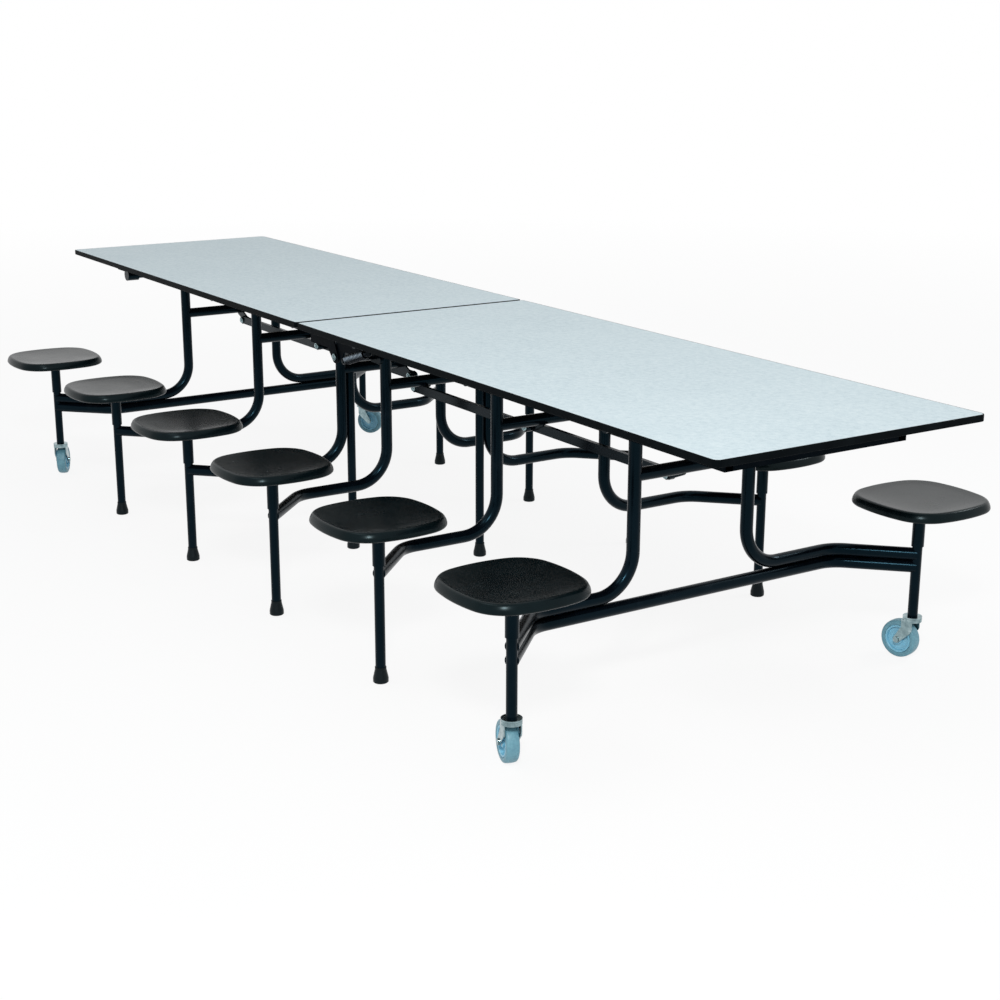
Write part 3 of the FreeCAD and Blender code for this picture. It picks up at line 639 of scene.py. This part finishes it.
# %% Screw heads under the leaves
# Each pair is a radius and a height, in millimetres.
head_profile = np.array([(0.0, 3.1), (2.2, 2.9), (3.9, 2.1), (4.9, 0.8), (5.0, 0.5), (6.6, 0.45),
                         (6.8, 0.0)]) * mm
flange_z = 718.0
screw_rows, screw_lines = (-238.0, 276.0), (30.0, 77.0, 124.0)
head_steps = 16
screw_places = np.array([(x, y, flange_z) for y in screw_rows for x in screw_lines]) * mm
for half, sign in halves:
    heads = [turned(head_profile, spot, (0.0, 0.0, -1.0), head_steps)
             for spot in screw_places * (sign, sign, 1.0)]
    make_piece(half + "_screw_heads", heads, finishes["zinc"], half + "_top",
               sharp_deg=30.0)
print("screw heads on each leaf:", len(screw_places))

# %% [markdown]
# The hinge and strut bolts are zinc plated, but they are part of black nodes, and a mask for their
# ends would have to know where they are. So a flanged cap with a small hexagon on it sits over each
# bolt end. A turned grid with only six steps is a hexagon, so one helper makes both the round flange
# and the hexagon.

# %% Bolt ends
flange_profile = np.array([(0.0, 5.5), (7.6, 5.5), (9.6, 4.8), (10.5, 3.4), (10.6, 0.2),
                           (10.2, 0.0)]) * mm
hexagon_profile = np.array([(0.0, 7.6), (5.2, 7.6), (6.6, 7.0), (6.8, 5.4)]) * mm
flange_steps, hexagon_steps = 28, 6
hinge_pin_z, strut_pin_z = 627.0, 527.0
# For each carrier, each row is the end's x, y and z in millimetres, and which way it faces along y.
bolt_ends = {"top": [(0.0, 261.0, hinge_pin_z, 1)],
             "end_frame": [(1240.0, -33.5, strut_pin_z, -1), (1240.0, -14.0, strut_pin_z, 1)],
             "middle_frame": [(658.0, -46.0, strut_pin_z, -1), (658.0, -14.0, strut_pin_z, 1)],
             "centre_frame": [(76.0, -46.0, strut_pin_z, -1), (76.0, -26.5, strut_pin_z, 1)]}
for half, sign in halves:
    for carrier, ends in bolt_ends.items():
        grids = []
        for x, y, z, way in ends:
            middle, axis = (sign * x * mm, sign * y * mm, z * mm), (0.0, sign * way, 0.0)
            grids.append(turned(flange_profile, middle, axis, flange_steps))
            grids.append(turned(hexagon_profile, middle, axis, hexagon_steps))
        body = half + "_" + carrier
        make_piece(body + "_bolt_ends", grids, finishes["zinc"], body, sharp_deg=30.0)
print("bolt ends on each half:", sum(len(ends) for ends in bolt_ends.values()))

# %% [markdown]
# The table stands on a wide pale floor. A curved backdrop would show its bend from some sides, so the
# floor runs on far behind the table instead. The camera sees it as mostly white with only a faint
# shadow, because a mix on camera rays adds a white that lights nothing, and more of it further out.
# Mirror and glass rays see that white too, so metal reflects the same studio.

# %% Floor
floor_reach = 300.0
fade_near, fade_far, near_share = 2.5, 9.0, 0.88
floor_stops = [(0.3, (0.90, 0.90, 0.90)), (0.7, (0.93, 0.93, 0.93))]
white = (1.0, 1.0, 1.0, 1.0)


def seen_share(start):
    """1 on camera, glossy and transmission rays, and 0 on the rays that only carry light."""
    rays = ("Is Camera Ray", "Is Glossy Ray", "Is Transmission Ray")
    seen, mirrored, through = (start.node("ShaderNodeLightPath", {}, {}, ray) for ray in rays)
    return seen + mirrored + through


material, start, place = new_finish("pale_floor")
colour = ramp(start, grain(start, place, scale=0.4), floor_stops)
matt = start.node("ShaderNodeBsdfDiffuse", {}, {"Color": colour})
glow = start.node("ShaderNodeEmission", {}, {"Color": white, "Strength": 1.0})
reach = start.node("ShaderNodeVectorMath", {"operation": "LENGTH"}, {0: place}, "Value")
fade = start.node("ShaderNodeMapRange", {},
                  {"Value": reach, "From Min": fade_near, "From Max": fade_far})
share = seen_share(start) * between(fade, near_share, 1.0)
blend = start.node("ShaderNodeMixShader", {}, {0: share, 1: matt, 2: glow})
start.node("ShaderNodeOutputMaterial", {}, {"Surface": blend})
floor_mesh = bpy.data.meshes.new("floor")
floor_mesh.from_pydata([(x, y, 0.0) for y in (-floor_reach, floor_reach)
                        for x in (-floor_reach, floor_reach)], [], [(0, 1, 3, 2)])
floor_mesh.materials.append(material)
add_object("floor", floor_mesh)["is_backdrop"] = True
print("floor:", round(2 * floor_reach), "m wide")

# %% [markdown]
# The light is an even pale sky, with a softbox over each side and a bright one above the camera, so
# that the black tubes and seats show a clear highlight. Sun lamps would be simpler, but a softbox has
# a size, and its reflection in a round tube is the long soft line that such tubes show.

# %% Sky and softboxes
sky_tint, sky_strength = (0.97, 0.985, 1.0, 1.0), 0.55

world = bpy.data.worlds.new("studio_sky")
bpy.context.scene.world = world
world.use_nodes = True
world.node_tree.nodes.clear()
start = Wire(world.node_tree)
sky = start.node("ShaderNodeBackground", {}, {"Color": sky_tint, "Strength": sky_strength})
plain = start.node("ShaderNodeBackground", {}, {"Color": white, "Strength": 1.0})
both = start.node("ShaderNodeMixShader", {}, {0: seen_share(start), 1: sky, 2: plain})
start.node("ShaderNodeOutputWorld", {}, {"Surface": both})


def softbox(name, place, target, width, height, power):
    """Rectangular lamp at a place, turned to face a target."""
    lamp = bpy.data.lights.new(name, "AREA")
    lamp.shape = "RECTANGLE"
    lamp.size, lamp.size_y, lamp.energy = width, height, power
    held = add_object(name, lamp)
    held.location = place
    held.rotation_euler = (Vector(target) - Vector(place)).to_track_quat("-Z", "Y").to_euler()


softbox("left_softbox", (0.9, -1.8, 3.4), (0.9, -0.4, 0.4), width=1.6, height=1.0, power=14.0)
softbox("right_softbox", (2.0, 3.6, 3.2), (1.3, 0.5, 0.3), width=1.2, height=0.5, power=30.0)
softbox("key_softbox", (4.25, -2.5, 3.15), (0.9, 0.0, 0.4), width=0.7, height=0.5, power=118.0)
print("lamps:", sorted(lamp.name for lamp in bpy.data.lights))

# %% [markdown]
# The camera stands where the photograph was taken from. Its place, its turn and its focal length in
# pixels were found from the corners of the table top. A Track To constraint could aim it, but the view
# is also rolled a little, so its three axes are worked out and written into its matrix.

# %% Camera
camera_place = (4.2924, -2.4742, 1.5667)
azimuth, elevation, roll = math.radians(57.098), math.radians(15.841), math.radians(0.153)
sensor_width = 36.0
focal_pixels, picture_pixels = 1706.1, 1000.0
far_clip = 1000.0

back = Vector((math.sin(azimuth) * math.cos(elevation), -math.cos(azimuth) * math.cos(elevation),
               math.sin(elevation)))
level = (-back).cross(Vector((0.0, 0.0, 1.0))).normalized()
upright = level.cross(-back)
right = level * math.cos(roll) + upright * math.sin(roll)
up = upright * math.cos(roll) - level * math.sin(roll)
lens = bpy.data.cameras.new("photo_camera")
lens.sensor_width = sensor_width
lens.lens = sensor_width * focal_pixels / picture_pixels
lens.clip_end = far_clip
camera = add_object("photo_camera", lens)
turn = Matrix((right, up, back)).transposed()
camera.matrix_world = Matrix.Translation(camera_place) @ turn.to_4x4()
bpy.context.scene.camera = camera
bpy.context.scene.view_settings.view_transform = "Standard"
print("camera lens:", round(lens.lens, 1), "mm")

# %% [markdown]
# The box of everything that the dressed table shows is worked out and printed. The dressed table has
# to stay inside the box of the CAD model.

# %% Size of the dressed table
low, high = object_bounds()
print("visual box:", [round(v, 4) for v in (*low, *high)])
